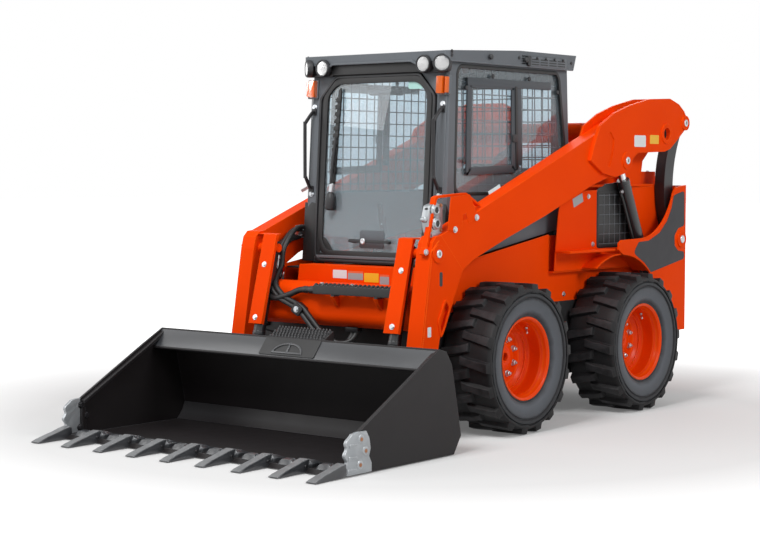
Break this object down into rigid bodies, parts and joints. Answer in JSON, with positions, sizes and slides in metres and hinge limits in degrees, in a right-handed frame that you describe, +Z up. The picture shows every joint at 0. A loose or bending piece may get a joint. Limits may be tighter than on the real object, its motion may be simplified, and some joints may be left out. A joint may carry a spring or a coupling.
{
  "type": "skid steer loader",
  "caption": "Compact wheeled loader with a closed cab, a vertical-lift boom on rear links and a toothed bucket on a quick coupler.",
  "frame": {"origin": "on the floor, below the middle of the machine's overall box", "axes": "-Y is the front, +X the operator's left, +Z up"},
  "size_m": [1.97, 3.9279, 2.096],
  "materials": {
    "orange_paint": "gloss powder coat",
    "black_paint": "satin",
    "grey_paint": "satin",
    "tyre": "matt",
    "rod_chrome": "polished",
    "wear_steel": "brushed",
    "cab_glass": "tinted",
    "seat_vinyl": "matt",
    "black_plastic": "matt",
    "lamp_lens": "clear",
    "engine_iron": "matt"
  },
  "bodies": {
    "chassis": {"chassis_frame": "black_paint", "cab_tub": "black_paint", "front_panel": "orange_paint", "engine_bay": "orange_paint", "engine_block": "engine_iron", "side_panels": "orange_paint", "rear_towers": "orange_paint", "tower_webs": "orange_paint", "side_screens": "black_paint", "cab_frame": "grey_paint", "front_door": "grey_paint", "cab_glass": "cab_glass", "cab_roof": "grey_paint", "seat": "seat_vinyl", "consoles": "black_plastic", "front_lamps": "lamp_lens", "grab_handles": "black_paint"},
    "hood": {"hood": "orange_paint"},
    "rear_door": {"rear_door": "orange_paint"},
    "rear_links": {"rear_links": "black_paint"},
    "boom": {"boom_arms": "orange_paint", "arm_legs": "orange_paint", "boom_outer_plates": "orange_paint", "boom_inner_plates": "orange_paint", "boom_cross_members": "orange_paint", "boom_guards": "orange_paint", "boom_step": "black_paint"},
    "control_links": {"control_links": "black_paint"},
    "lift_barrels": {"lift_barrels": "black_paint"},
    "lift_rods": {"lift_rods": "rod_chrome"},
    "tilt_barrels": {"tilt_barrels": "black_paint"},
    "tilt_rods": {"tilt_rods": "rod_chrome"},
    "bucket": {"bucket_shell": "black_paint", "cutting_edge": "black_paint", "bucket_teeth": "black_paint", "side_cutters": "wear_steel", "quick_coupler": "black_paint"},
    "wheel_front_left": {"tyre_front_left": "tyre", "rim_front_left": "orange_paint"},
    "wheel_rear_left": {"tyre_rear_left": "tyre", "rim_rear_left": "orange_paint"},
    "wheel_front_right": {"tyre_front_right": "tyre", "rim_front_right": "orange_paint"},
    "wheel_rear_right": {"tyre_rear_right": "tyre", "rim_rear_right": "orange_paint"}
  },
  "joints": [
    {"name": "boom_lift", "type": "hinge", "parent": "rear_links", "child": "boom", "pos_m": [0, 1.92, 1.719], "axis": [-1, 0, 0], "range_deg": [0, 91.9]},
    {"name": "rear_link_swing", "type": "hinge", "parent": "chassis", "child": "rear_links", "pos_m": [0, 1.865, 0.992], "axis": [1, 0, 0], "range_deg": [0, 32.47]},
    {"name": "control_link_swing", "type": "hinge", "parent": "boom", "child": "control_links", "pos_m": [0, 1.506, 1.274], "axis": [1, 0, 0], "range_deg": [0, 121.99]},
    {"name": "lift_barrel_swing", "type": "hinge", "parent": "chassis", "child": "lift_barrels", "pos_m": [0, 1.635, 0.65], "axis": [1, 0, 0], "range_deg": [-1, 0]},
    {"name": "lift_rod_slide", "type": "slide", "parent": "lift_barrels", "child": "lift_rods", "axis": [0, -0.4468, 0.8946], "range_m": [0, 0.707]},
    {"name": "bucket_tilt", "type": "hinge", "parent": "boom", "child": "bucket", "pos_m": [0, -0.705, 0.25], "axis": [1, 0, 0], "range_deg": [-28, 98]},
    {"name": "tilt_barrel_swing", "type": "hinge", "parent": "boom", "child": "tilt_barrels", "pos_m": [0, -0.628, 0.989], "axis": [1, 0, 0], "range_deg": [-1, 0.3]},
    {"name": "tilt_rod_slide", "type": "slide", "parent": "tilt_barrels", "child": "tilt_rods", "axis": [0, -0.2533, -0.9674], "range_m": [-0.06, 0.206]},
    {"name": "hood_lift", "type": "hinge", "parent": "chassis", "child": "hood", "pos_m": [0, 0.935, 1.408], "axis": [1, 0, 0], "range_deg": [0, 30]},
    {"name": "rear_door_swing", "type": "hinge", "parent": "chassis", "child": "rear_door", "pos_m": [-0.53, 1.952, 0.88], "axis": [0, 0, 1], "range_deg": [0, 100]},
    {"name": "wheel_roll_front_left", "type": "hinge", "parent": "chassis", "child": "wheel_front_left", "pos_m": [0.716, -0.065, 0.408], "axis": [1, 0, 0], "continuous": true},
    {"name": "wheel_roll_rear_left", "type": "hinge", "parent": "chassis", "child": "wheel_rear_left", "pos_m": [0.716, 1.16, 0.408], "axis": [1, 0, 0], "continuous": true},
    {"name": "wheel_roll_front_right", "type": "hinge", "parent": "chassis", "child": "wheel_front_right", "pos_m": [-0.716, -0.065, 0.408], "axis": [1, 0, 0], "continuous": true},
    {"name": "wheel_roll_rear_right", "type": "hinge", "parent": "chassis", "child": "wheel_rear_right", "pos_m": [-0.716, 1.16, 0.408], "axis": [1, 0, 0], "continuous": true}
  ],
  "couplings": [
    {"joint": "rear_link_swing", "follows": "boom_lift", "ratio": 0.35275},
    {"joint": "control_link_swing", "follows": "boom_lift", "ratio": 1.3269},
    {"joint": "lift_barrel_swing", "follows": "boom_lift", "ratio": -0.00647},
    {"joint": "lift_rod_slide", "follows": "boom_lift", "m_per_rad": 0.44013},
    {"joint": "tilt_barrel_swing", "follows": "bucket_tilt", "ratio": -0.01},
    {"joint": "tilt_rod_slide", "follows": "bucket_tilt", "m_per_rad": 0.12}
  ]
}
